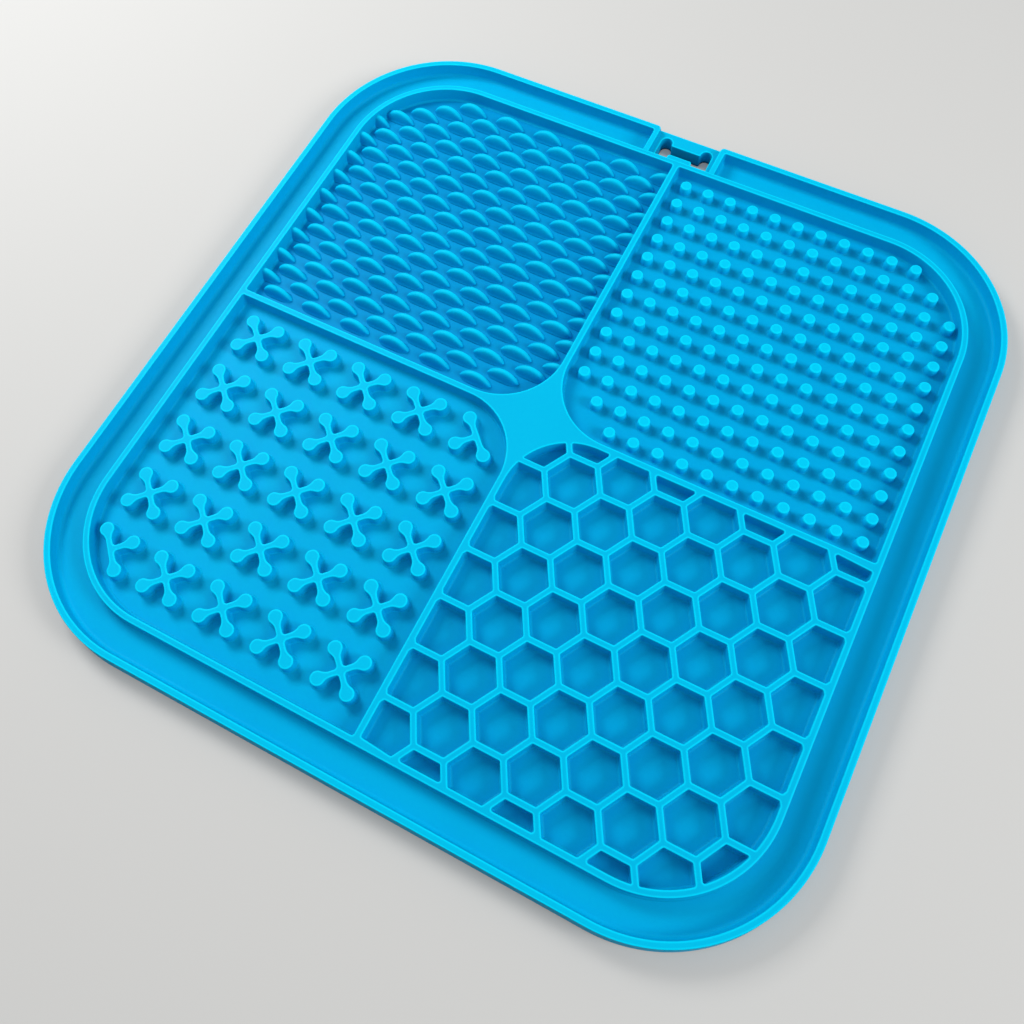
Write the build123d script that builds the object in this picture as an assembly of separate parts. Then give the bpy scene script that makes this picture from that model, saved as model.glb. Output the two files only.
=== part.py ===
from build123d import *
import math
import os

# Lick mat: a square silicone tray with a flared rim, a spill moat and four textured
# feeding fields round a star. Millimetres, +Z up, origin at the centre of the underside.
# The notch with the hanging slot is on the +Y side. Seen from above, the scales are at
# -X +Y, the dots at +X +Y, the crossbones at -X -Y and the honeycomb at +X -Y.

# Tray
side = 200.0  # across the rim top, outer face to outer face
height = 6.0  # underside to rim top
corner_radius = 38.0  # outer corner at the rim top
side_flare = 0.8  # how far the foot stands out past the rim top
floor_thickness = 2.2
rim_thickness = 1.7
moat_width = 8.0  # rim to inner wall
wall_thickness = 1.65  # inner wall round the fields
divider_thickness = 1.75
star_radius = 17.3  # the four hollow sides of the star

# Notch in the back edge, with its shelf and slot
notch_gap = 18.4  # clear width between the end walls
notch_wall = 1.65
notch_corner_radius = 1.2  # outer corner of each end wall
shelf_drop = 1.8  # shelf top below the rim top
slot_length = 15.4
lobe_width = 3.2  # the slot's round lobe at each end
lobe_depth = 2.2  # how far a lobe runs out past the channel
slot_lip = 1.7  # left between the lobes and the outer edge
lug_width = 7.2  # the lug that stands in the slot's inner side
lug_depth = 1.3
lug_corner_radius = 0.7

# Scales: upright arched fins in staggered rows
scale_rows = 22
scale_row_pitch = 3.8
scale_pitch = 12.4
scale_length = 8.7
scale_height = 3.0
scale_foot = 2.9  # thickness at the floor
scale_crest = 1.0  # thickness at the height of the crest
scale_facets = 4

# Dots: short tapered pegs in a square grid
dot_count = 13
dot_pitch = 6.6
dot_foot_diameter = 3.4
dot_top_diameter = 3.1
dot_height = 2.6
dot_facets = 6

# Crossbones: crossed bars with a knob at each end
bone_count = 5
bone_pitch = 16.65
bone_offset_x = 0.3  # the grid's middle from the field's middle
bone_offset_y = 0.8
bone_reach = 4.0  # middle to a knob's centre, along X and along Y
bone_knob_diameter = 3.7
bone_waist = 1.55
bone_height = 3.0
bone_wall_gap = 1.0  # an arm that would come nearer to a wall is left off
bone_knob_facets = 5
bone_neck_angle = 150.0  # where a knob runs into its bar

# Honeycomb
cell_pitch = 13.2  # across flats, middle of wall to middle of wall
cell_wall = 1.6

# Places left empty at the two round corners of a field, counted from that corner
dot_corner_skips = ((0, 0), (0, 1), (1, 0))
scale_wall_corner_skips = ((0, 0), (0, 1), (1, 0), (2, 0))
scale_star_corner_skips = ((0, 0), (1, 0))

overrun = 5.0  # cuts run this far past what they cut
sliver_share = 0.02  # a clipped piece under this share of the whole one is dropped

# Derived sizes
half_side = side / 2
relief = height - floor_thickness  # walls above the floor
corner_centre = half_side - corner_radius  # shared by every rounded corner of the tray
rim_inner = half_side - rim_thickness
wall_outer = rim_inner - moat_width
wall_inner = wall_outer - wall_thickness
field_corner_radius = wall_inner - corner_centre
divider_face = divider_thickness / 2
star_reach = divider_face + star_radius
field_side = wall_inner - divider_face
field_centre = (wall_inner + divider_face) / 2
shelf_top = height - shelf_drop
lobe_end = half_side - slot_lip
tongue_face = lobe_end - lobe_depth
full_reach = half_side + side_flare + overrun  # past everything in plan


def outline(half):
    """Rounded square of the tray's family: its corners share the tray's corner centres."""
    return RectangleRounded(2 * half, 2 * half, corner_radius - half_side + half)


def flared_block(low, high):
    """The tray's outer shape between two heights, standing out more towards the foot."""
    foot = outline(half_side + side_flare * (1 - low / height))
    lean = math.degrees(math.atan2(side_flare, height))
    return extrude(Pos(0, 0, low) * foot, high - low, taper=lean)


def prism(plan, low, high):
    """A plan shape stood up between two heights."""
    return extrude(Pos(0, 0, low) * plan, high - low)


def box_between(low, high):
    """A box given by its lowest and highest corners."""
    size = [top - bottom for bottom, top in zip(low, high)]
    return Pos(*low) * Box(*size, align=(Align.MIN, Align.MIN, Align.MIN))


def notch_box(half_width, low, high):
    """The back edge's notch from the inner wall outwards, as wide as asked."""
    return box_between((-half_width, wall_outer, low), (half_width, full_reach, high))


def field_plan():
    """One feeding field at +X +Y, rounded towards the star and at the tray's corner."""
    plan = Pos(field_centre, field_centre) * Rectangle(field_side, field_side)
    corners = plan.vertices().sort_by(lambda v: v.X + v.Y)
    plan = fillet(corners[-1], field_corner_radius)
    corners = plan.vertices().sort_by(lambda v: v.X + v.Y)
    return fillet(corners[0], star_radius)


def field_block(turns):
    """A field's full relief, turned by quarter turns from the +X +Y corner of the mat."""
    return Rot(0, 0, 90 * turns) * prism(field_plan(), floor_thickness, height)


def fits(x, y, reach):
    """Whether a round of this reach stays inside the +X +Y field, which the others mirror."""
    if min(x, y) - reach < divider_face or max(x, y) + reach > wall_inner:
        return False
    if min(x, y) > corner_centre:
        room = field_corner_radius - math.hypot(x - corner_centre, y - corner_centre)
        return room >= reach
    if max(x, y) < star_reach:
        return star_radius - math.hypot(x - star_reach, y - star_reach) >= reach
    return True


def clipped(piece, block):
    """A piece's solids inside a field, without slivers."""
    cut = piece & block
    solids = cut.solids() if cut else []
    return [s for s in solids if s.volume > sliver_share * piece.volume]


def base_sheet():
    return flared_block(0, floor_thickness) - notch_box(notch_gap / 2, -overrun, height)


def outer_rim():
    rim = flared_block(floor_thickness, height) - prism(outline(rim_inner), 0, height + overrun)
    return rim - notch_box(notch_gap / 2 + notch_wall, 0, height + overrun)


def notch_end_walls():
    """The two walls that close the moat at the notch, from the inner wall to the outer face."""
    walls = []
    shell = flared_block(floor_thickness, height)
    for hand in (-1, 1):
        inner, outer = hand * notch_gap / 2, hand * (notch_gap / 2 + notch_wall)
        low = (min(inner, outer), wall_outer, floor_thickness)
        high = (max(inner, outer), full_reach, height)
        wall = (shell & box_between(low, high)).solid()
        corner = wall.edges().filter_by(lambda e: abs(e.center().X - inner) < notch_wall / 2)
        corner = corner.filter_by(Axis.Z, reverse=True).sort_by(Axis.Y)
        upright = [e for e in corner if e.bounding_box().size.Z > relief / 2][-1]
        walls.append(fillet(upright, notch_corner_radius))
    return walls


def inner_wall():
    return prism(outline(wall_outer) - outline(wall_inner), floor_thickness, height)


def centre_star():
    star = Rectangle(2 * star_reach, 2 * star_reach)
    for x in (-star_reach, star_reach):
        for y in (-star_reach, star_reach):
            star -= Pos(x, y) * Circle(star_radius)
    return prism(star, floor_thickness, height)


def divider(turns):
    """A straight wall from the star to the inner wall, turned by quarter turns from +X."""
    low = (star_reach, -divider_face, floor_thickness)
    high = (wall_inner, divider_face, height)
    return Rot(0, 0, 90 * turns) * box_between(low, high)


def slot_plan():
    """Channel along the inner wall with a round-ended lobe running outwards at each end."""
    channel = tongue_face - wall_outer
    plan = Pos(0, wall_outer + channel / 2) * Rectangle(slot_length, channel)
    radius = lobe_width / 2
    for hand in (-1, 1):
        x = hand * (slot_length / 2 - radius)
        run = lobe_end - radius - wall_outer
        plan += Pos(x, wall_outer + run / 2) * Rectangle(lobe_width, run)
        plan += Pos(x, lobe_end - radius) * Circle(radius)
    return plan


def hang_tab():
    """The notch's shelf: a lip with a short tongue, held by a leg at each end."""
    shelf = flared_block(0, shelf_top) & notch_box(notch_gap / 2, -overrun, height)
    return shelf - prism(slot_plan(), -overrun, height)


def slot_lug():
    plan = Pos(0, wall_outer + lug_depth / 2) * Rectangle(lug_width, lug_depth)
    plan = fillet(plan.vertices().group_by(Axis.Y)[-1], lug_corner_radius)
    return prism(plan, 0, height)


def scale_fin():
    """One upright fin: an arched plate with both faces drafted towards the crest."""
    half = scale_length / 2
    radius = (half**2 + scale_height**2) / (2 * scale_height)
    sweep = math.asin(half / radius)
    steps = [sweep * (2 * i / scale_facets - 1) for i in range(scale_facets + 1)]
    drop = radius - scale_height
    arch = [(radius * math.sin(a), radius * math.cos(a) - drop) for a in steps]
    plate = extrude(Plane.XZ * make_face(Polyline(*arch, close=True)), scale_foot, both=True)
    foot, crest = scale_foot / 2, scale_crest / 2
    section = [(-foot, 0), (foot, 0), (crest, scale_height), (-crest, scale_height)]
    wedge = extrude(Plane.YZ * make_face(Polyline(*section, close=True)), scale_length, both=True)
    return (plate & wedge).solid()


def scale_bumps():
    """Staggered rows of fins. Every other row runs into the walls, which cut its end fins."""
    fin = scale_fin()
    block = field_block(1)
    fins = []
    for row in range(scale_rows):
        long_row = row % 2 == 0
        count = math.floor(field_side / scale_pitch) + (1 if long_row else 0)
        y = field_centre + scale_row_pitch * ((scale_rows - 1) / 2 - row)
        for i in range(count):
            if (row, i) in scale_wall_corner_skips:
                continue
            if (scale_rows - 1 - row, count - 1 - i) in scale_star_corner_skips:
                continue
            x = -field_centre + scale_pitch * (i - (count - 1) / 2)
            piece = Pos(x, y, floor_thickness) * fin
            ends = (x - scale_length / 2, x + scale_length / 2)
            whole = all(fits(-end, y, scale_foot / 2) for end in ends)
            fins += [piece] if whole else clipped(piece, block)
    return fins


def dot_pegs():
    """A square grid of pegs, with three left out at each round corner of the field."""
    inset = (dot_foot_diameter - dot_top_diameter) / 2 * math.cos(math.pi / dot_facets)
    lean = math.degrees(math.atan2(inset, dot_height))
    peg = extrude(RegularPolygon(dot_foot_diameter / 2, dot_facets), dot_height, taper=lean)
    pegs = []
    for row in range(dot_count):
        for column in range(dot_count):
            from_far = (dot_count - 1 - row, dot_count - 1 - column)
            if (row, column) in dot_corner_skips or from_far in dot_corner_skips:
                continue
            x, y = (field_centre + dot_pitch * (i - (dot_count - 1) / 2) for i in (column, row))
            if fits(x, y, dot_foot_diameter / 2):
                pegs.append(Pos(x, y, floor_thickness) * peg)
    return pegs


def half_bone(angle):
    """Plan of one arm of a crossbone, from the middle to the knob at its end."""
    reach = math.hypot(bone_reach, bone_reach)
    knob = bone_knob_diameter / 2
    turns = [bone_neck_angle * (2 * i / bone_knob_facets - 1) for i in range(bone_knob_facets + 1)]
    turns = [math.radians(turn) for turn in turns]
    end = [(reach + knob * math.cos(turn), knob * math.sin(turn)) for turn in turns]
    points = [(0, -bone_waist / 2), *end, (0, bone_waist / 2)]
    return Rot(0, 0, angle) * make_face(Polyline(*points, close=True))


def crossbones():
    """A square grid of crossed bones. An arm that would meet a round corner is left off."""
    bones = []
    for row in range(bone_count):
        for column in range(bone_count):
            x, y = (bone_pitch * (i - (bone_count - 1) / 2) - field_centre for i in (column, row))
            x, y = x + bone_offset_x, y + bone_offset_y
            plan = Rot(0, 0, 45) * Rectangle(bone_waist, bone_waist)
            for angle in (45, 135, 225, 315):
                knob_x = x + math.copysign(bone_reach, math.cos(math.radians(angle)))
                knob_y = y + math.copysign(bone_reach, math.sin(math.radians(angle)))
                if fits(-knob_x, -knob_y, bone_knob_diameter / 2 + bone_wall_gap):
                    plan += half_bone(angle)
            bones.append(Pos(x, y, floor_thickness) * extrude(plan, bone_height))
    return bones


def cell_wall_plan(start, end):
    """One straight wall of the honeycomb, pointed at both ends to meet its neighbours."""
    along = (Vector(*end) - Vector(*start)).normalized()
    across = along.rotate(Axis.Z, 90) * (cell_wall / 2)
    point = along * (cell_wall / 2 * math.tan(math.radians(30)))
    a, b = Vector(*start), Vector(*end)
    points = [a, a + point - across, b - point - across, b, b - point + across, a + point + across]
    return make_face(Polyline(*points, close=True))


def honeycomb_walls():
    """Straight walls round hexagons with flats along X, clipped by the field's outline."""
    block = field_block(3)
    corner = cell_pitch / math.sqrt(3)  # hexagon's middle to its corner
    column_pitch = cell_pitch * math.sqrt(3) / 2
    columns = math.ceil(field_side / 2 / column_pitch) + 1
    rows = math.ceil(field_side / 2 / cell_pitch) + 1
    turns = [math.radians(angle) for angle in (-60, 0, 60, 120)]
    walls = []
    for column in range(-columns, columns):
        x = field_centre + column_pitch * (column + 1 / 2)
        shift = 1 / 2 if column % 2 else 0
        for row in range(-rows, rows + 1):
            y = cell_pitch * (row + shift) - field_centre
            corners = [(x + corner * math.cos(t), y + corner * math.sin(t)) for t in turns]
            for start, end in zip(corners[:-1], corners[1:]):
                inside = [fits(x, -y, cell_wall) for x, y in (start, end)]
                wall = prism(cell_wall_plan(start, end), floor_thickness, height)
                walls += wall.solids() if all(inside) else clipped(wall, block)
    return walls


nodes = {
    "base_sheet": [base_sheet()],
    "outer_rim": [outer_rim()],
    "notch_end_walls": notch_end_walls(),
    "inner_wall": [inner_wall()],
    "centre_star": [centre_star()],
    "divider_right": [divider(0)],
    "divider_back": [divider(1)],
    "divider_left": [divider(2)],
    "divider_front": [divider(3)],
    "hang_tab": [hang_tab()],
    "slot_lug": [slot_lug()],
    "scale_bumps": scale_bumps(),
    "dot_pegs": dot_pegs(),
    "crossbones": crossbones(),
    "honeycomb_walls": honeycomb_walls(),
}

os.makedirs("parts", exist_ok=True)
for name, pieces in nodes.items():
    solids = [solid for piece in pieces for solid in piece.solids()]
    shape = solids[0] if len(solids) == 1 else Compound(solids)
    shape.label = name
    export_step(shape, os.path.join("parts", name + ".step"))
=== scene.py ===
import math

import bmesh
import bpy
from mathutils import Matrix, Vector
from mathutils.geometry import delaunay_2d_cdt


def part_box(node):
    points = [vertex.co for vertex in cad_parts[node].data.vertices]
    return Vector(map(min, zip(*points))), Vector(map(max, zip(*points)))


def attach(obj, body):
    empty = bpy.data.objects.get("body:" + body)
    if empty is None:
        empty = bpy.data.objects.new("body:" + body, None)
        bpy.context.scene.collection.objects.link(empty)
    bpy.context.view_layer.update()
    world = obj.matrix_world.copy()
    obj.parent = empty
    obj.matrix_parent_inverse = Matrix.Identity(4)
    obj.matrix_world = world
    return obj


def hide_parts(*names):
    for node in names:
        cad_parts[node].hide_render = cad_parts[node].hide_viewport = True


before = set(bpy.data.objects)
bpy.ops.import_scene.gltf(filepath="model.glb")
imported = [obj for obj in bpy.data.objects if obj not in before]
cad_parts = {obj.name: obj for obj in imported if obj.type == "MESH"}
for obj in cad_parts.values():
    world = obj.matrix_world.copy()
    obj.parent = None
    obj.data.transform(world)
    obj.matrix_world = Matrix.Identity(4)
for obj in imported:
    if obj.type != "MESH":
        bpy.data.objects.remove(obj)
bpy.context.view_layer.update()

# A silicone lick mat: a tray with a rim, a spill moat and four textured fields round a star.
# Shapes are worked out in millimetres, in the frame's own axes, and scaled to metres at the end.

millimetre = 0.001  # in the frame's metres


def node_box(node):
    """A node's lowest and highest corners, in millimetres."""
    return [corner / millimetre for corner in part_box(node)]


# Sizes that the solids give
foot_half = node_box("base_sheet")[1].x
floor_level = node_box("base_sheet")[1].z
rim_top = node_box("outer_rim")[1].z
wall_outer = node_box("inner_wall")[1].x
wall_inner, divider_face, _ = node_box("divider_right")[1]
star_reach = node_box("centre_star")[1].x
notch_face = node_box("hang_tab")[1].x
shelf_top = node_box("hang_tab")[1].z
notch_wall_face = node_box("notch_end_walls")[1].x
lug_half, lug_face, _ = node_box("slot_lug")[1]
fin_top = node_box("scale_bumps")[1].z
dot_top = node_box("dot_pegs")[1].z
bone_top = node_box("crossbones")[1].z

# Tray and walls. The painted light is how far the silicone's colour is painted towards a lighter blue: 0 is
# painted shade in a field, 1 a painted highlight at a thin edge.
side_flare = 0.8
rim_thickness = 1.7
corner_radius = 38.0
crest_radius = 0.22
foot_radius = 0.4
wall_draft = 0.12
rim_cove = 1.0
wall_cove = 0.6
field_corner = 0.6
cell_corner = 0.45
least_radius = 0.06  # of a rounded corner, however far its profile runs inward
arc_error = 0.01  # how far a rounded corner's sides may leave its arc
arc_step = math.radians(15)
crest_steps = 4
edge_rings = crest_steps + 2  # rings of a profile down to the end of its rounded edge
edge_band = 0.32  # width of the painted highlight band along a flat top's edge
floor_painted_light = 0.37
wall_top_painted_light = 0.5
wall_face_painted_light = 0.28
wall_foot_painted_light = 0.28
rim_top_painted_light = 0.61
cove_steps = 5
fill_error = 1e-6  # points of a flat face that are closer than this count as one
seam = 0.02  # faces of two pieces that would lie in one plane are set this far apart
buried = 1.0  # how far a piece runs into the one that hides its end
normal_weight = 80  # how much the larger faces rule the shading of an edge

# Notch. Ends and faces are given by their distance from the middle of the mat.
notch_corner = 1.2
slot_half = 7.7
lobe_width = 3.2
lobe_radius_share = 0.49
lobe_end = 98.3
tongue_face = 96.1
tongue_corner = 0.5
lug_corner = 0.7
shelf_buried = 1.4  # how far the shelf runs into the inner wall

# Scales
fin_rows = 22
fin_row_pitch = 3.8
fin_pitch = 12.4
fin_length = 9.2
fin_arch_radius = 5.2
fin_foot = 2.9
fin_steps = 24
# Painted light on the fins: painted shade on their floor, painted highlights up their sides and along the
# crest
fin_floor_painted_light = 0.0
fin_painted_light_power = 2  # how fast the painted highlight grows up a fin's side
fin_top_painted_light = 0.74
fin_arch_painted_light_power = 0.2  # how fast the crest's painted highlight fades as the arch comes down
fin_end_power = 4  # the higher, the blunter a fin's two ends are in plan
fin_end_width_share = 0.12
fin_lean = 0.35  # how far the middle of a fin's crest leans back
fin_bend = 0.6  # how much further forward the two ends of its crest lie
fin_sunk = 0.05  # how far a fin's base lies under the floor
# Up one side of a fin, at any place along it: share of half its foot, share of its height there
fin_side_shares = (
    (1.25, 0.0), (1.05, 0.06), (0.93, 0.14), (0.83, 0.27), (0.74, 0.43), (0.64, 0.62),
    (0.54, 0.8), (0.43, 0.91), (0.27, 0.975), (0.0, 1.0),
)

# Dots
dot_count = 13
dot_pitch = 6.6
dot_top_radius = 1.55
dot_draft = 0.15
dot_cove = 0.35
dot_crest = 0.3
dot_sides = 24
# Painted light on the dots: painted shade on their floor, painted highlights on their tops and faces
dot_floor_painted_light = 0.24
dot_top_painted_light = 0.74
dot_face_painted_light = 0.88

# Crossbones
bone_count = 5
bone_arms = 4
bone_pitch = 16.65
bone_offset = Vector((0.3, 0.8))
bone_reach = 4.0
bone_knob = 1.85
bone_waist = 1.55
bone_gap = 1.0  # least room between a knob and a wall
bone_neck_radius = 3.0
bone_neck_sides = 5
bone_knob_sides = 16
bone_crotch = 0.7
bone_cove = 0.5
bone_crest = 0.25
# Painted light on the bones: painted shade on their floor, painted highlights on their tops and faces
bone_floor_painted_light = 0.33
bone_top_painted_light = 0.59
bone_face_painted_light = 0.34

# Honeycomb
# painted shade on the floor of the honeycomb's cells
cell_floor_painted_light = 0.26
hexagon_sides = 6
cell_pitch = 13.2
cell_wall = 1.6
least_cell_room = 0.45  # cut cells with less room are left solid
least_cell_edge = 0.4  # shorter sides of a cut cell are dropped
foot_room_share = 0.8  # how much of a cell's room the coves at its foot may take
corner_room_share = 0.4  # how much of a cell's side the rounding of one corner may take
round_slant = math.tan(math.radians(80))  # blunter corners lie on an arc and stay as they are

# Silicone: screen colours, shader values, and noise by its features per metre
# The mottling runs between the first two blues, set at the tone of the most shaded floor; the third is the
# lighter blue that the painted light mixes in.
deep_blue = (0, 145, 204)
mid_blue = (0, 152, 209)
painted_light_blue = (0, 217, 255)
mottle_scale = 45
mottle_detail = 3
mottle_shares = (0.35, 0.65)
gloss_scale = 400
gloss_detail = 2
gloss_range = (0.42, 0.56)
grain_scale = 3500
grain_detail = 2
grain_strength = 0.25
grain_depth = 0.02
specular_level = 0.03
scatter_weight = 0.12
scatter_radius = (0.4, 0.9, 1.0)
scatter_scale = 0.9

# Floor
floor_half = 3000.0
floor_drop = 0.2  # how far it lies under the mat
floor_roughness = 0.9
floor_specular = 0.1
floor_seen_tone = (192, 192, 190)
floor_seen_lift = 0.12  # light added where the floor is seen, which keeps it pale far off
floor_bounce_tone = (60, 60, 60)

# Lamps: distance, degrees down from overhead, degrees round from +X, watts
left_lamp = (500.0, 48, 160, 1.45)
right_lamp = (900.0, 58, 5, 4.15)
lamp_size_share = 0.36  # a soft box's side over its distance
surround_strength = 0.44

# Camera, placed from the middle of the rim's top
camera_place = Vector((51.79, -92.02, 205.43))
camera_look = Vector((-0.20508, 0.30272, -0.93076))
camera_up = Vector((-0.41164, 0.83609, 0.36263))
camera_lens = 31.94
camera_sensor = 36.0
camera_near = 10.0

mix_first, mix_second, mix_result = 6, 7, 2  # a Mix node's sockets for colours

# Places left empty at the two round corners of a field, counted from that corner
dot_skips = ((0, 0), (0, 1), (1, 0))
fin_wall_skips = ((0, 0), (0, 1), (1, 0), (2, 0))
fin_star_skips = ((0, 0), (1, 0))

# Worked out from the sizes above
rim_half = foot_half - side_flare
rim_inner = rim_half - rim_thickness
corner_centre = rim_half - corner_radius
field_side = wall_inner - divider_face
field_centre = (wall_inner + divider_face) / 2
star_radius = star_reach - divider_face
field_radius = wall_inner - corner_centre
wall_top = rim_top - seam


def quarter(steps):
    """Angles that divide a quarter turn."""
    return [math.pi / 2 * i / steps for i in range(steps + 1)]


def crest_profile(top, radius):
    """(way out of the material, height) along a flat top's edge band and over its rounded edge."""
    bend = [(radius * (math.sin(a) - 1), top - radius * (1 - math.cos(a))) for a in quarter(crest_steps)]
    return [(-radius - edge_band, top)] + bend


def edge_painted_light(step, top, face, foot):
    """How light the silicone is painted at one step of a profile: a painted highlight, most where its
    rounded edge begins.
    """
    if step == 0:
        return top
    turn = math.pi / 2 * (step - 1) / crest_steps
    return face + (1 - face) * math.cos(turn) if step < edge_rings else foot


def wall_profile(top, cove, draft=wall_draft, crest=crest_radius):
    """Over the crest, down a drafted face and through a cove to the floor."""
    bend = [
        (draft + cove * (1 - math.cos(a)), floor_level + cove * (1 - math.sin(a)))
        for a in quarter(cove_steps)
    ]
    return crest_profile(top, crest) + bend


def sunk(profile):
    """A profile with one more step, just under the floor."""
    return profile + [(profile[-1][0], floor_level - seam)]


def plain_profile(top, base, steps):
    """Over the crest and straight down to the base in so many steps."""
    start = top - crest_radius
    face = [(0, start + (base - start) * i / steps) for i in range(1, steps + 1)]
    return crest_profile(top, crest_radius) + face


def side_profile(top, flare):
    """Over the crest, down the flared outer side and round the foot."""
    bend = [
        (flare - foot_radius * (1 - math.cos(a)), foot_radius * (1 - math.sin(a)))
        for a in quarter(cove_steps)
    ]
    return crest_profile(top, crest_radius) + bend


class Outline:
    """A closed path with the material on its left, made of (x, y, radius, profile) corners."""

    def __init__(self, corners):
        self.corners = corners
        self.mitres, self.turns = [], []
        places = [Vector(corner[:2]) for corner in corners]
        for i, place in enumerate(places):
            into = (place - places[i - 1]).normalized()
            onward = (places[(i + 1) % len(places)] - place).normalized()
            aside = Vector((into.y + onward.y, -into.x - onward.x))
            self.mitres.append(aside * 2 / aside.length_squared)
            self.turns.append(math.atan2(into.cross(onward), into.dot(onward)))

    def steps(self):
        """How many steps its profiles have."""
        *_, profile = self.corners[0]
        return len(profile)

    def arc(self, i, places, radius):
        """Points that round one corner."""
        _, _, sharp_radius, _ = self.corners[i]
        if sharp_radius == 0:
            return [places[i]]
        limit = min(arc_step, 2 * math.acos(max(0, 1 - arc_error / sharp_radius)))
        count = max(2, math.ceil(abs(self.turns[i]) / limit))
        back = (places[i - 1] - places[i]).normalized()
        ahead = (places[(i + 1) % len(places)] - places[i]).normalized()
        half = back.angle(ahead) / 2
        centre = places[i] + (back + ahead).normalized() * (radius / math.sin(half))
        start = places[i] + back * (radius / math.tan(half)) - centre
        turn = math.copysign(math.pi - 2 * half, self.turns[i])
        return [centre + Matrix.Rotation(turn * k / count, 2) @ start for k in range(count + 1)]

    def ring(self, step):
        """Points of the path at one step of its profiles, as a list for each corner."""
        places, radii, levels = [], [], []
        for (x, y, radius, profile), mitre, turn in zip(self.corners, self.mitres, self.turns):
            out, level = profile[step]
            places.append(Vector((x, y)) + mitre * out)
            radii.append(max(least_radius, radius + out if turn > 0 else radius - out))
            levels.append(level)
        arcs = [self.arc(i, places, radius) for i, radius in enumerate(radii)]
        return [[(*point, level) for point in arc] for arc, level in zip(arcs, levels)]


def even(corners, profile):
    """An outline with one profile all round, from (x, y, radius) corners."""
    return Outline([(*corner, profile) for corner in corners])


def surrounds(loop, point):
    """Whether a closed path goes round a point, by the crossings of a ray along +X."""
    inside = False
    for i, end in enumerate(loop):
        start = loop[i - 1]
        if (start.y > point.y) != (end.y > point.y):
            share = (point.y - start.y) / (end.y - start.y)
            inside ^= point.x < start.x + share * (end.x - start.x)
    return inside


class Moulding:
    """A mesh made of bands round outlines and of the flat faces between them."""

    def __init__(self):
        self.mesh = bmesh.new()
        # painted highlights and shade, per vertex, which the silicone's colour mixes in
        self.painted_light = self.mesh.verts.layers.float.new("painted_light")

    def ring(self, points, painted_light=floor_painted_light):
        """New vertices at some points, all of one painted light."""
        ring = [self.mesh.verts.new(point) for point in points]
        for vert in ring:
            vert[self.painted_light] = painted_light
        return ring

    def band(self, upper, lower):
        """Faces between two closed rings."""
        for i in range(len(upper)):
            self.mesh.faces.new((upper[i - 1], lower[i - 1], lower[i], upper[i]))

    def bands(self, rings):
        """Faces between each ring and the next."""
        for upper, lower in zip(rings[:-1], rings[1:]):
            self.band(upper, lower)

    def wall(self, outline, top_painted_light=wall_top_painted_light, face_painted_light=wall_face_painted_light, foot_painted_light=wall_foot_painted_light):
        """Bands down the profiles of an outline. Returns the first and the last ring."""
        rings = []
        for step in range(outline.steps()):
            points = [point for arc in outline.ring(step) for point in arc]
            rings.append(self.ring(points, edge_painted_light(step, top_painted_light, face_painted_light, foot_painted_light)))
        self.bands(rings)
        return rings[0], rings[-1]

    def fill(self, rings):
        """One flat face with its holes, as triangles."""
        points = [point for ring in rings for point in ring]
        starts = [sum(len(ring) for ring in rings[:i]) for i in range(len(rings))]
        edges = []
        for start, ring in zip(starts, rings):
            edges += [(start + i, start + (i + 1) % len(ring)) for i in range(len(ring))]
        inside_constraints = 1
        plan = [point.co.xy for point in points]
        loops = [plan[start:start + len(ring)] for start, ring in zip(starts, rings)]
        _, _, faces, sources, _, _ = delaunay_2d_cdt(plan, edges, [], inside_constraints, fill_error)
        for face in faces:
            corners = [points[sources[i][0]] for i in face]
            middle = sum((corner.co.xy for corner in corners), Vector((0, 0))) / len(corners)
            if sum(surrounds(loop, middle) for loop in loops) % 2:
                self.mesh.faces.new(corners)

    def raised(self, outlines, *painted_lights):
        """A closed form between the tops and the bases of its outlines."""
        rings = [self.wall(outline, *painted_lights) for outline in outlines]
        self.fill([first for first, _ in rings])
        self.fill([last for _, last in rings])

    def piece(self, name, *nodes):
        """The finished object, which stands for some nodes of the frame."""
        bmesh.ops.recalc_face_normals(self.mesh, faces=self.mesh.faces)
        bmesh.ops.scale(self.mesh, vec=(millimetre, millimetre, millimetre), verts=self.mesh.verts)
        for face in self.mesh.faces:
            face.smooth = True
        data = bpy.data.meshes.new(name)
        self.mesh.to_mesh(data)
        self.mesh.free()
        data.materials.append(bpy.data.materials["moulded_silicone"])
        piece = bpy.data.objects.new(name, data)
        bpy.context.scene.collection.objects.link(piece)
        normals = piece.modifiers.new("normals", "WEIGHTED_NORMAL")
        normals.mode = "FACE_AREA"
        normals.weight = normal_weight
        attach(piece, "root")
        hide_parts(*nodes)


def srgb(red, green, blue):
    """Linear colour from a 0 to 255 screen colour, by the standard sRGB curve."""
    shares = [value / 255 for value in (red, green, blue)]
    linear = [s / 12.92 if s <= 0.04045 else ((s + 0.055) / 1.055) ** 2.4 for s in shares]
    return (*linear, 1.0)


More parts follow.
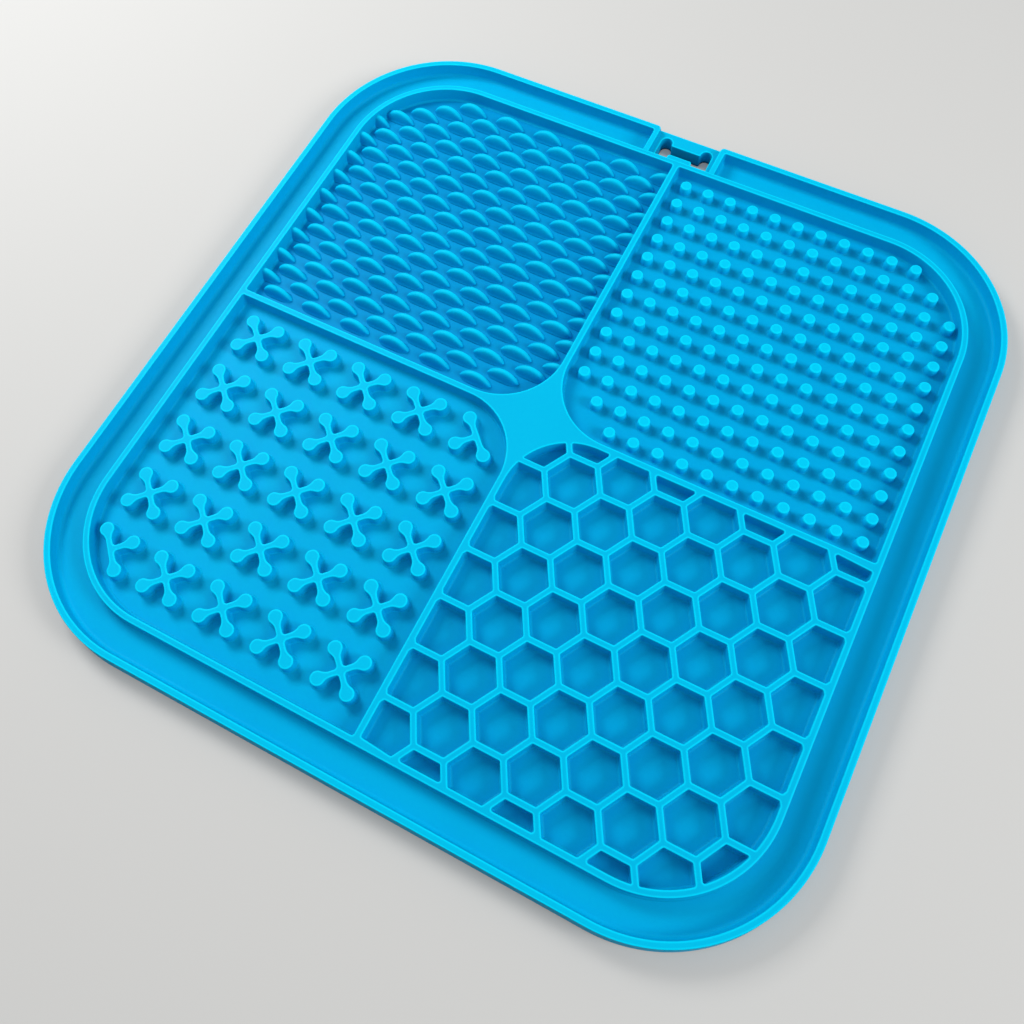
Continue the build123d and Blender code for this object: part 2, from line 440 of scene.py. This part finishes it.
def silicone():
    """Matte blue silicone with a fine moulded grain, a faint mottling, and painted highlights and shade
    from a vertex attribute.
    """
    material = bpy.data.materials.new("moulded_silicone")
    material.use_nodes = True
    nodes, links = material.node_tree.nodes, material.node_tree.links
    shader = nodes["Principled BSDF"]
    shader.inputs["Specular IOR Level"].default_value = specular_level
    shader.inputs["Subsurface Weight"].default_value = scatter_weight
    shader.inputs["Subsurface Radius"].default_value = scatter_radius
    shader.inputs["Subsurface Scale"].default_value = scatter_scale * millimetre
    place = nodes.new("ShaderNodeTexCoord").outputs["Object"]

    def noise(scale, detail):
        """A noise over the piece's own coordinates."""
        node = nodes.new("ShaderNodeTexNoise")
        node.inputs["Scale"].default_value = scale
        node.inputs["Detail"].default_value = detail
        links.new(place, node.inputs["Vector"])
        return node.outputs["Fac"]

    tint = nodes.new("ShaderNodeValToRGB")
    for element, share, blue in zip(tint.color_ramp.elements, mottle_shares, (deep_blue, mid_blue)):
        element.position = share
        element.color = srgb(*blue)
    links.new(noise(mottle_scale, mottle_detail), tint.inputs["Fac"])
    # Painted light and shade: a vertex attribute mixes a lighter blue in, most at tops and edges, least on
    # shaded field floors.
    painted_light_attribute = nodes.new("ShaderNodeAttribute")
    painted_light_attribute.attribute_name = "painted_light"
    lighter = nodes.new("ShaderNodeMix")
    lighter.data_type = "RGBA"
    links.new(painted_light_attribute.outputs["Fac"], lighter.inputs["Factor"])
    links.new(tint.outputs["Color"], lighter.inputs[mix_first])
    lighter.inputs[mix_second].default_value = srgb(*painted_light_blue)
    links.new(lighter.outputs[mix_result], shader.inputs["Base Color"])

    gloss = nodes.new("ShaderNodeMapRange")
    gloss.inputs["To Min"].default_value, gloss.inputs["To Max"].default_value = gloss_range
    links.new(noise(gloss_scale, gloss_detail), gloss.inputs["Value"])
    links.new(gloss.outputs["Result"], shader.inputs["Roughness"])

    grain = nodes.new("ShaderNodeBump")
    grain.inputs["Strength"].default_value = grain_strength
    grain.inputs["Distance"].default_value = grain_depth * millimetre
    links.new(noise(grain_scale, grain_detail), grain.inputs["Height"])
    links.new(grain.outputs["Normal"], shader.inputs["Normal"])


def square(half, radius):
    """Corners of a rounded square, counterclockwise."""
    return [(x, y, radius) for x, y in ((-half, -half), (half, -half), (half, half), (-half, half))]


def with_hidden_ends(corners, profile):
    """Corners with a profile, whose edge band narrows to nothing at the two ends inside a wall."""
    end = [(profile[1][0] - seam, profile[1][1])] + profile[1:]
    return [(*corners[0], end)] + [(*corner, profile) for corner in corners[1:-1]] + [(*corners[-1], end)]


def field_floor(moulding, right, back, painted_light):
    """The floor of one field, whose own painted shade begins under the coves of the walls. Returns its
    border.
    """
    under_cove = [(0, floor_level), ((wall_draft + wall_cove) / 2, floor_level)]
    outline = even(field_corners(right, back)[::-1], under_cove)
    border, inside = moulding.wall(outline, floor_painted_light)
    for vert in inside:
        vert[moulding.painted_light] = painted_light
    moulding.fill([inside])
    return border


def tray():
    """Underside, flared side, rim and floor in one skin, with the rim turned in at the notch."""
    hidden = wall_outer - buried / 2
    outer_corners = [
        (-notch_face, hidden, 0), (-notch_face, rim_half, notch_corner),
        (-rim_half, rim_half, corner_radius), (-rim_half, -rim_half, corner_radius),
        (rim_half, -rim_half, corner_radius), (rim_half, rim_half, corner_radius),
        (notch_face, rim_half, notch_corner), (notch_face, hidden, 0),
    ]
    inner_radius = rim_inner - corner_centre
    inner_corners = [
        (notch_wall_face, hidden, 0), (notch_wall_face, rim_inner, field_corner),
        (rim_inner, rim_inner, inner_radius), (rim_inner, -rim_inner, inner_radius),
        (-rim_inner, -rim_inner, inner_radius), (-rim_inner, rim_inner, inner_radius),
        (-notch_wall_face, rim_inner, field_corner), (-notch_wall_face, hidden, 0),
    ]
    side = side_profile(rim_top, side_flare)
    inside = wall_profile(rim_top, rim_cove)
    corners = with_hidden_ends(outer_corners, side) + with_hidden_ends(inner_corners, inside)
    outline = Outline(corners)
    moulding = Moulding()
    top, last = moulding.wall(outline, rim_top_painted_light, wall_face_painted_light, floor_painted_light)
    outer_count = sum(len(arc) for arc in outline.ring(0)[:len(outer_corners)])
    under, floor = last[:outer_count], last[outer_count:]
    moulding.fill([top])
    moulding.fill([under])
    # each field's floor gets its own painted shade
    borders = [
        field_floor(moulding, -1, 1, fin_floor_painted_light), field_floor(moulding, 1, 1, dot_floor_painted_light),
        field_floor(moulding, -1, -1, bone_floor_painted_light), field_floor(moulding, 1, -1, cell_floor_painted_light),
    ]
    moulding.fill([floor] + borders)
    # The gap at the notch, inside the inner wall
    moulding.mesh.faces.new((under[0], under[-1], floor[0], floor[-1]))
    moulding.piece("tray", "base_sheet", "outer_rim", "notch_end_walls")


def hang_shelf():
    """The low shelf in the notch, with the slot through it."""
    flare = side_flare * (1 - shelf_top / rim_top)
    half = notch_face + notch_corner
    back, front = rim_half + flare - seam, wall_outer - shelf_buried
    side = side_profile(shelf_top, side_flare - flare)
    steps = len(side) - edge_rings
    hidden = plain_profile(shelf_top, seam, steps)
    rim = Outline([
        (-half, front, 0, hidden), (half, front, 0, hidden), (half, back, 0, side), (-half, back, 0, side),
    ])
    lobe = lobe_radius_share * lobe_width
    tongue = slot_half - lobe_width
    hole = [
        (-slot_half, lobe_end, lobe), (-tongue, lobe_end, lobe), (-tongue, tongue_face, tongue_corner),
        (tongue, tongue_face, tongue_corner), (tongue, lobe_end, lobe), (slot_half, lobe_end, lobe),
        (slot_half, wall_outer - seam, 0), (-slot_half, wall_outer - seam, 0),
    ]
    moulding = Moulding()
    moulding.raised([rim, even(hole, hidden)])
    moulding.piece("hang_shelf", "hang_tab")


def lug():
    """The lug on the slot's inner side."""
    back = wall_outer - buried / 2
    corners = [
        (-lug_half, back, 0), (lug_half, back, 0), (lug_half, lug_face, lug_corner),
        (-lug_half, lug_face, lug_corner),
    ]
    moulding = Moulding()
    moulding.raised([even(corners, plain_profile(wall_top - seam, seam, 1))])
    moulding.piece("lug", "slot_lug")


def field_corners(right, back):
    """Corners of the field on one side of each divider, counterclockwise."""
    corners = [
        (divider_face, divider_face, star_radius), (wall_inner, divider_face, field_corner),
        (wall_inner, wall_inner, field_radius), (divider_face, wall_inner, field_corner),
    ]
    corners = [(right * x, back * y, radius) for x, y, radius in corners]
    return corners if right * back > 0 else corners[::-1]


def clipped(polygon, border):
    """The part of a convex polygon inside a convex border, both counterclockwise."""
    for i, end in enumerate(border):
        start = border[i - 1]
        along = end - start
        depths = [along.cross(point - start) for point in polygon]
        kept = []
        for j, point in enumerate(polygon):
            if depths[j - 1] * depths[j] < 0:
                share = depths[j - 1] / (depths[j - 1] - depths[j])
                kept.append(polygon[j - 1].lerp(point, share))
            if depths[j] >= 0:
                kept.append(point)
        polygon = kept
        if len(polygon) < 3:
            return []
    return polygon


def room_of(polygon):
    """Area over perimeter of a polygon, at least half of its inner radius."""
    area = sum(polygon[i - 1].cross(polygon[i]) for i in range(len(polygon))) / 2
    return area / sum((polygon[i] - polygon[i - 1]).length for i in range(len(polygon)))


def thinned(polygon, spacing):
    """A polygon without points that lie closer to the one before than a spacing."""
    return [point for i, point in enumerate(polygon) if (point - polygon[i - 1]).length > spacing]


def cell_outline(polygon):
    """A honeycomb cell as a hole, its true corners rounded and its foot no wider than it holds."""
    ways = [(polygon[i - 1] - p, polygon[(i + 1) % len(polygon)] - p) for i, p in enumerate(polygon)]
    slants = [math.tan(back.angle(ahead) / 2) for back, ahead in ways]
    rooms = [back.length / (1 / slants[i - 1] + 1 / slants[i]) for i, (back, _) in enumerate(ways)]
    share = min(1, foot_room_share * min(rooms) / (wall_draft + wall_cove))
    corners = []
    for place, (back, ahead), slant in zip(polygon, ways, slants):
        fitting = corner_room_share * min(back.length, ahead.length) * slant
        corners.append((*place, min(cell_corner, fitting) if slant < round_slant else 0))
    profile = sunk(wall_profile(wall_top, share * wall_cove, share * wall_draft))
    return even(corners[::-1], profile)


def honeycomb_cells():
    """Outlines of the honeycomb's hexagons, cut by the walls round their field."""
    field = even(field_corners(1, -1), wall_profile(wall_top, wall_cove))
    level_with_face = edge_rings - 1
    border = [Vector(point[:2]) for arc in field.ring(level_with_face) for point in arc]
    column_pitch = cell_pitch * math.sqrt(3) / 2
    columns = math.ceil(field_side / 2 / column_pitch) + 1
    rows = math.ceil(field_side / 2 / cell_pitch) + 1
    reach = (cell_pitch - cell_wall) / math.sqrt(3)
    cells = []
    for column in range(-columns, columns):
        x = field_centre + column_pitch * (column + 1 / 2)
        for row in range(-rows, rows + 1):
            y = cell_pitch * (row + (1 / 2 if column % 2 else 0)) - field_centre
            turns = [math.tau / hexagon_sides * i for i in range(hexagon_sides)]
            hexagon = [Vector((x + reach * math.cos(t), y + reach * math.sin(t))) for t in turns]
            cell = thinned(clipped(hexagon, border), least_cell_edge)
            if len(cell) > 2 and room_of(cell) > least_cell_room:
                cells.append(cell_outline(cell))
    return cells


def walls():
    """The inner wall, the dividers, the star and the honeycomb, which share one top."""
    coved = sunk(wall_profile(wall_top, wall_cove))
    bare = plain_profile(wall_top, seam, len(coved) - edge_rings)
    gap = (notch_face + notch_wall_face) / 2
    radius = wall_outer - corner_centre
    rim = [(*corner, coved) for corner in square(wall_outer, radius)]
    notch = [(gap + seam, coved), (gap, bare), (-gap, bare), (-gap - seam, coved)]
    back_left = 3  # the corner of the square that the notch comes before
    rim[back_left:back_left] = [(x, wall_outer, 0, profile) for x, profile in notch]
    outlines = [Outline(rim)]
    for right, back in ((-1, 1), (1, 1), (-1, -1)):
        outlines.append(even(field_corners(right, back)[::-1], coved))
    moulding = Moulding()
    moulding.raised(outlines + honeycomb_cells())
    dividers = [f"divider_{way}" for way in ("right", "back", "left", "front")]
    moulding.piece("walls", "inner_wall", "centre_star", "honeycomb_walls", *dividers)


def wall_middle(y):
    """How far from the middle of the mat the inner wall's own middle is, in the row at y."""
    middle = (wall_outer + wall_inner) / 2
    if y < corner_centre:
        return middle
    return corner_centre + math.sqrt(max(0, (middle - corner_centre) ** 2 - (y - corner_centre) ** 2))


def fin(moulding, x, y):
    """One arched fin, cut off inside the wall or the divider where it meets one."""
    reach, height = fin_length / 2, fin_top - floor_level + fin_sunk
    start, end = max(-reach, -wall_middle(y) - x), min(reach, -x)
    first, last = math.asin(start / reach), math.asin(end / reach)
    base = floor_level - fin_sunk
    rings = []
    for i in range(fin_steps + 1):
        along = reach * math.sin(first + (last - first) * i / fin_steps)
        rise = height - fin_arch_radius + math.sqrt(fin_arch_radius**2 - along**2)
        width_share = math.sqrt(max(0, 1 - abs(along / reach) ** fin_end_power))
        thickness = fin_foot / 2 * max(fin_end_width_share, width_share)
        lean = fin_lean - fin_bend * (along / reach) ** 2
        side = [(thickness * out, base + rise * up, up) for out, up in fin_side_shares]
        section = [(-out, z, up) for out, z, up in side] + side[-2::-1]
        rings.append(moulding.ring([(x + along, y + out + lean * up, z) for out, z, up in section]))
        # Painted highlight: lightest at the crest's top, fading down the sides and towards the lower ends
        arch_painted_light = fin_top_painted_light * (rise / height) ** fin_arch_painted_light_power
        for vert, (_, _, up) in zip(rings[-1], section):
            vert[moulding.painted_light] = arch_painted_light * up**fin_painted_light_power
    moulding.bands(rings)
    moulding.mesh.faces.new(rings[0])
    moulding.mesh.faces.new(rings[-1])


def fins():
    """Staggered rows of arched fins."""
    moulding = Moulding()
    for row in range(fin_rows):
        count = math.floor(field_side / fin_pitch) + (1 if row % 2 == 0 else 0)
        y = field_centre + fin_row_pitch * ((fin_rows - 1) / 2 - row)
        for i in range(count):
            at_star = (fin_rows - 1 - row, count - 1 - i) in fin_star_skips
            if not at_star and (row, i) not in fin_wall_skips:
                fin(moulding, -field_centre + fin_pitch * (i - (count - 1) / 2), y)
    moulding.piece("fins", "scale_bumps")


def dots():
    """A square grid of round pegs."""
    moulding = Moulding()
    profile = sunk(wall_profile(dot_top, dot_cove, dot_draft, dot_crest))
    turns = [math.tau * i / dot_sides for i in range(dot_sides)]
    for row in range(dot_count):
        for column in range(dot_count):
            from_far = (dot_count - 1 - row, dot_count - 1 - column)
            if (row, column) in dot_skips or from_far in dot_skips:
                continue
            x, y = (field_centre + dot_pitch * (i - (dot_count - 1) / 2) for i in (column, row))
            rings = []
            for step, (out, level) in enumerate(profile):
                radius = dot_top_radius + out
                points = [(x + radius * math.cos(t), y + radius * math.sin(t), level) for t in turns]
                painted_light = edge_painted_light(step, dot_top_painted_light, dot_face_painted_light, dot_floor_painted_light)
                rings.append(moulding.ring(points, painted_light))
            moulding.bands(rings)
            moulding.mesh.faces.new(rings[0])
            moulding.mesh.faces.new(rings[-1])
    moulding.piece("dots", "dot_pegs")


def inside_bone_field(x, y):
    """Whether a knob clears the walls of the field at -X -Y, given as distances from the middle."""
    room = bone_knob + bone_gap
    if min(x, y) > corner_centre:
        return math.hypot(x - corner_centre, y - corner_centre) <= field_radius - room
    if max(x, y) < star_reach:
        return math.hypot(x - star_reach, y - star_reach) <= star_radius - room
    return True


def half_arm():
    """Plan of one side of a bone's arm that lies along +X, from its straight bar to the knob's tip."""
    reach = math.hypot(bone_reach, bone_reach)
    rise = bone_waist / 2 + bone_neck_radius
    run = math.sqrt((bone_knob + bone_neck_radius) ** 2 - rise**2)
    turn = math.asin(run / (bone_knob + bone_neck_radius))
    points = []
    for i in range(bone_neck_sides):
        t = turn * i / bone_neck_sides
        points.append((reach - run + bone_neck_radius * math.sin(t), rise - bone_neck_radius * math.cos(t)))
    for i in range(bone_knob_sides // 2 + 1):
        t = (math.pi / 2 + turn) * (1 - 2 * i / bone_knob_sides)
        points.append((reach + bone_knob * math.cos(t), bone_knob * math.sin(t)))
    return points


def bone_corners(x, y):
    """Outline of one pair of crossed bones, without an arm that would meet a round corner."""
    side = half_arm()
    arm = [(along, -out) for along, out in side[:-1]] + side[::-1]
    middle = Vector((x, y))
    turns = [math.pi / bone_arms + math.tau / bone_arms * i for i in range(bone_arms)]
    ways = [Vector((math.cos(turn), math.sin(turn))) for turn in turns]
    knobs = [middle + way * math.hypot(bone_reach, bone_reach) for way in ways]
    present = [inside_bone_field(-knob.x, -knob.y) for knob in knobs]
    corners = []
    for i, (turn, way) in enumerate(zip(turns, ways)):
        if not present[i]:
            corners.append((*(middle + way * bone_waist / 2), 0))
            continue
        corners += [(*(middle + Matrix.Rotation(turn, 2) @ Vector(point)), 0) for point in arm]
        after = (i + 1) % bone_arms
        if present[after]:
            crotch = (way + ways[after]) * bone_waist / 2
            corners.append((*(middle + crotch), bone_crotch))
    return corners


def bones():
    """A square grid of crossed bones."""
    moulding = Moulding()
    profile = sunk(wall_profile(bone_top, bone_cove, crest=bone_crest))
    for row in range(bone_count):
        for column in range(bone_count):
            x, y = (bone_pitch * (i - (bone_count - 1) / 2) - field_centre for i in (column, row))
            x, y = bone_offset + Vector((x, y))
            outline = even(bone_corners(x, y), profile)
            moulding.raised([outline], bone_top_painted_light, bone_face_painted_light, bone_floor_painted_light)
    moulding.piece("bones", "crossbones")


def floor():
    """A plain floor just under the mat: pale where it is seen, and darker in the light it throws back."""
    half, drop = floor_half * millimetre, floor_drop * millimetre
    data = bpy.data.meshes.new("floor")
    corners = [(-half, -half, -drop), (half, -half, -drop), (half, half, -drop), (-half, half, -drop)]
    data.from_pydata(corners, [], [(0, 1, 2, 3)])
    plane = bpy.data.objects.new("floor", data)
    bpy.context.scene.collection.objects.link(plane)
    material = bpy.data.materials.new("floor")
    material.use_nodes = True
    nodes, links = material.node_tree.nodes, material.node_tree.links
    shader = nodes["Principled BSDF"]
    shader.inputs["Roughness"].default_value = floor_roughness
    shader.inputs["Specular IOR Level"].default_value = floor_specular
    ray = nodes.new("ShaderNodeLightPath")
    seen = ray.outputs["Is Camera Ray"]
    for way in ("Is Glossy Ray", "Is Transmission Ray"):
        either = nodes.new("ShaderNodeMath")
        either.operation = "MAXIMUM"
        links.new(seen, either.inputs[0])
        links.new(ray.outputs[way], either.inputs[1])
        seen = either.outputs["Value"]
    tone = nodes.new("ShaderNodeMix")
    tone.data_type = "RGBA"
    tone.inputs[mix_first].default_value = srgb(*floor_bounce_tone)
    tone.inputs[mix_second].default_value = srgb(*floor_seen_tone)
    links.new(seen, tone.inputs["Factor"])
    links.new(tone.outputs[mix_result], shader.inputs["Base Color"])
    lift = nodes.new("ShaderNodeMath")
    lift.operation = "MULTIPLY"
    lift.inputs[1].default_value = floor_seen_lift
    links.new(seen, lift.inputs[0])
    links.new(lift.outputs["Value"], shader.inputs["Emission Strength"])
    data.materials.append(material)


def lamp(name, distance, zenith, azimuth, power):
    """A soft box that faces the mat, so many degrees down from overhead and round from +X."""
    down, round_z = math.radians(zenith), math.radians(azimuth)
    way = Vector((math.sin(down) * math.cos(round_z), math.sin(down) * math.sin(round_z), math.cos(down)))
    data = bpy.data.lights.new(name, "AREA")
    data.size = lamp_size_share * distance * millimetre
    data.energy = power
    light = bpy.data.objects.new(name, data)
    light.location = way * distance * millimetre
    light.rotation_euler = (-way).to_track_quat("-Z", "Y").to_euler()
    bpy.context.scene.collection.objects.link(light)


def studio():
    """A soft box near the left side of the mat, a low one far off at the right, and an even surround."""
    lamp("left", *left_lamp)
    lamp("right", *right_lamp)
    world = bpy.data.worlds.new("studio")
    world.use_nodes = True
    surround = world.node_tree.nodes["Background"]
    surround.inputs["Color"].default_value = (1, 1, 1, 1)
    surround.inputs["Strength"].default_value = surround_strength
    bpy.context.scene.world = world
    bpy.context.scene.view_settings.view_transform = "Standard"


def camera():
    """The photograph's view, solved from the mat's straight edges."""
    place = camera_place + Vector((0, 0, rim_top))
    data = bpy.data.cameras.new("camera")
    data.lens = camera_lens
    data.sensor_width = camera_sensor
    data.clip_start = camera_near * millimetre
    view = bpy.data.objects.new("camera", data)
    turn = Matrix((camera_look.cross(camera_up), camera_up, -camera_look)).transposed().to_4x4()
    view.matrix_world = Matrix.Translation(place * millimetre) @ turn
    bpy.context.scene.collection.objects.link(view)
    bpy.context.scene.camera = view


silicone()
tray()
hang_shelf()
lug()
walls()
fins()
dots()
bones()
floor()
studio()
camera()
